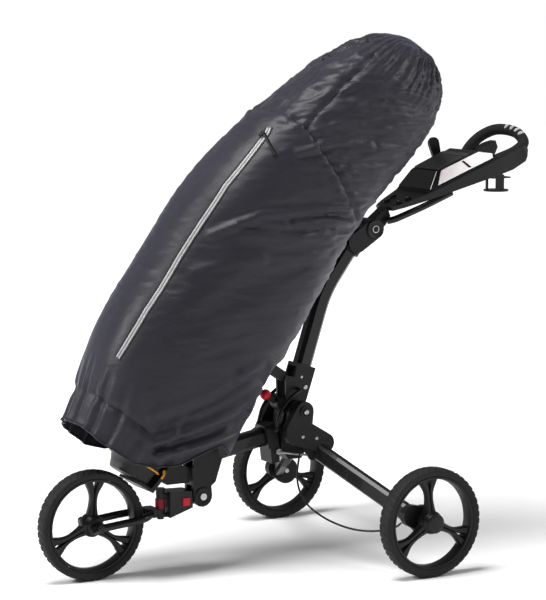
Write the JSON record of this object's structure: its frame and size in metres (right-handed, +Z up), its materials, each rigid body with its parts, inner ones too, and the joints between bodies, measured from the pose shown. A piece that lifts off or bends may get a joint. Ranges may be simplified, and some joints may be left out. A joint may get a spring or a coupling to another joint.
{
  "type": "golf push cart with bag",
  "caption": "Three-wheel folding golf push cart with a golf bag strapped on, under a fitted hooded rain cover.",
  "frame": {"origin": "on the ground, at the middle of the cart's overall length and width", "axes": "+X from the front wheel to the handle, +Y to the cart's right side seen from the handle looking forward is -Y, +Z up"},
  "size_m": [1.4185, 0.8408, 1.3583],
  "materials": {
    "black_paint": "satin black powder coat",
    "black_nylon": "moulded glass-filled nylon",
    "steel": "zinc-plated steel",
    "tyre_rubber": "solid foam-filled rubber",
    "red_plastic": "moulded red",
    "dark_red_plastic": "dark red ring",
    "gloss_black": "piano black",
    "silver_plastic": "pearl silver",
    "grey_plastic": "dark grey moulding",
    "grip_foam": "soft black grip foam",
    "cover_fabric": "coated nylon rain-cover cloth",
    "bag_cloth": "woven polyester",
    "cable_jacket": "cable jacket"
  },
  "bodies": {
    "frame": {"hub_casting": "black_nylon", "main_pivot_bolt": "steel", "lower_tube": "black_paint", "front_knuckle": "black_nylon", "fork_pivot_pin": "steel", "bag_shelf": "black_nylon"},
    "link_carriage": {"link_carriage": "black_nylon", "carriage_bolt": "steel"},
    "fold_links": {"fold_link_left": "black_paint", "fold_link_right": "black_paint"},
    "leg_link_left": {"leg_link_left": "steel"},
    "leg_link_right": {"leg_link_right": "steel"},
    "fold_knob": {"fold_knob": "red_plastic"},
    "upper_frame": {"upper_clevis": "black_nylon", "upper_tube": "black_paint", "bag_cradle": "black_nylon", "handle_hub": "black_nylon", "handle_pivot_bolt": "steel"},
    "handle": {"handle_knuckle": "black_nylon", "console_base": "black_nylon", "badge_panel": "gloss_black", "scorecard_plate": "silver_plastic", "accessory_mount": "black_nylon", "handle_shaft_left": "black_paint", "handle_shaft_right": "black_paint", "grip_handle": "grip_foam", "cup_holder": "black_nylon"},
    "console_lid": {"console_lid": "grey_plastic"},
    "brake_lever": {"brake_lever": "black_nylon"},
    "left_leg": {"leg_tube_left": "black_paint", "leg_bracket_left": "black_nylon", "axle_block_left": "black_nylon", "rear_axle_left": "steel", "brake_cable": "cable_jacket"},
    "right_leg": {"leg_tube_right": "black_paint", "leg_bracket_right": "black_nylon", "axle_block_right": "black_nylon", "rear_axle_right": "steel"},
    "left_wheel": {"left_tyre": "tyre_rubber", "left_rim": "black_nylon", "left_hub_cap": "black_nylon"},
    "right_wheel": {"right_tyre": "tyre_rubber", "right_rim": "black_nylon", "right_hub_cap": "black_nylon"},
    "front_wheel": {"front_tyre": "tyre_rubber", "front_rim": "black_nylon"},
    "fork_block": {"fork_block": "grey_plastic", "spindle_pin": "black_nylon"},
    "fork_button": {"fork_button": "red_plastic"},
    "tracking_collar": {"tracking_collar": "dark_red_plastic"},
    "fork": {"fork_tube": "black_paint", "fork_yoke": "black_nylon", "front_axle": "steel"},
    "bag": {"bag_base": "black_nylon", "bag_body": "bag_cloth", "club_driver": "steel", "club_iron": "steel", "rain_cover": "cover_fabric", "cover_strap": "bag_cloth"},
    "zip_pull": {"zip_pull": "black_nylon"}
  },
  "joints": [
    {"name": "bag_lift", "type": "slide", "parent": "frame", "child": "bag", "axis": [-0.829, 0, 0.5592], "range_m": [0, 1.12]},
    {"name": "main_fold", "type": "hinge", "parent": "frame", "child": "upper_frame", "pos_m": [0.005, 0, 0.39], "axis": [0, -1, 0], "range_deg": [0, 95]},
    {"name": "carriage_slide", "type": "slide", "parent": "frame", "child": "link_carriage", "axis": [-0.9848, 0, -0.1736], "range_m": [0, 0.093]},
    {"name": "fold_link_swing", "type": "hinge", "parent": "link_carriage", "child": "fold_links", "pos_m": [-0.061, 0, 0.346], "axis": [0, -1, 0], "range_deg": [-23.69, 0]},
    {"name": "leg_link_swing_left", "type": "hinge", "parent": "link_carriage", "child": "leg_link_left", "pos_m": [-0.048, -0.042, 0.282], "axis": [-0.1448, -0.9895, 0.0001], "range_deg": [0, 20.16]},
    {"name": "leg_link_swing_right", "type": "hinge", "parent": "link_carriage", "child": "leg_link_right", "pos_m": [-0.048, 0.042, 0.282], "axis": [0.1448, -0.9895, -0.0001], "range_deg": [0, 20.16]},
    {"name": "leg_fold_left", "type": "hinge", "parent": "frame", "child": "left_leg", "pos_m": [0.005, -0.068, 0.39], "axis": [0, 1, 0], "range_deg": [0, 43.3]},
    {"name": "leg_fold_right", "type": "hinge", "parent": "frame", "child": "right_leg", "pos_m": [0.005, 0.068, 0.39], "axis": [0, 1, 0], "range_deg": [0, 43.3]},
    {"name": "left_wheel_spin", "type": "hinge", "parent": "left_leg", "child": "left_wheel", "pos_m": [0.191, -0.388, 0.14], "axis": [0, 1, 0], "continuous": true},
    {"name": "right_wheel_spin", "type": "hinge", "parent": "right_leg", "child": "right_wheel", "pos_m": [0.191, 0.388, 0.14], "axis": [0, 1, 0], "continuous": true},
    {"name": "front_wheel_spin", "type": "hinge", "parent": "fork", "child": "front_wheel", "pos_m": [-0.569, 0, 0.14], "axis": [0, 1, 0], "continuous": true},
    {"name": "fork_fold", "type": "hinge", "parent": "frame", "child": "fork_block", "pos_m": [-0.266, 0, 0.185], "axis": [0, -1, 0], "range_deg": [0, 150]},
    {"name": "fork_release", "type": "slide", "parent": "fork_block", "child": "fork_button", "axis": [0, 1, 0], "range_m": [0, 0.004], "stiffness_N_per_m": 600, "springref_m": -0.002},
    {"name": "tracking_turn", "type": "hinge", "parent": "fork_block", "child": "tracking_collar", "pos_m": [-0.375, 0, 0.175], "axis": [0, 0, 1], "range_deg": [-30, 30]},
    {"name": "fork_steer", "type": "hinge", "parent": "fork_block", "child": "fork", "pos_m": [-0.375, 0, 0.155], "axis": [0, 0, 1], "range_deg": [-3, 3]},
    {"name": "fold_knob_pull", "type": "slide", "parent": "frame", "child": "fold_knob", "axis": [-0.87, 0, 0.493], "range_m": [0, 0.008], "stiffness_N_per_m": 900, "springref_m": -0.004},
    {"name": "handle_tilt", "type": "hinge", "parent": "upper_frame", "child": "handle", "pos_m": [0.246, 0, 0.849], "axis": [0, 1, 0], "range_deg": [-10, 100]},
    {"name": "console_lid_open", "type": "hinge", "parent": "handle", "child": "console_lid", "pos_m": [0.51875, 0, 1.0407], "axis": [0, 1, 0], "range_deg": [0, 22]},
    {"name": "brake_lever_throw", "type": "hinge", "parent": "handle", "child": "brake_lever", "pos_m": [0.53842, 0.106, 0.99202], "axis": [0, 1, 0], "range_deg": [0, 55]},
    {"name": "zip_run", "type": "hinge", "parent": "bag", "child": "zip_pull", "pos_m": [1.26238, 1.11126, -0.40942], "axis": [0.4123, -0.8596, -0.302], "range_deg": [0, 16.3]}
  ],
  "couplings": [
    {"joint": "main_fold", "follows": "bag_lift", "rad_per_m": 1.4797},
    {"joint": "carriage_slide", "follows": "bag_lift", "ratio": 0.082994},
    {"joint": "fold_link_swing", "follows": "bag_lift", "rad_per_m": -0.36897},
    {"joint": "leg_link_swing_left", "follows": "bag_lift", "rad_per_m": 0.31402},
    {"joint": "leg_link_swing_right", "follows": "bag_lift", "rad_per_m": 0.31402},
    {"joint": "leg_fold_left", "follows": "bag_lift", "rad_per_m": 0.67442},
    {"joint": "leg_fold_right", "follows": "bag_lift", "rad_per_m": 0.67442},
    {"joint": "tracking_turn", "follows": "fork_steer", "ratio": 10}
  ]
}
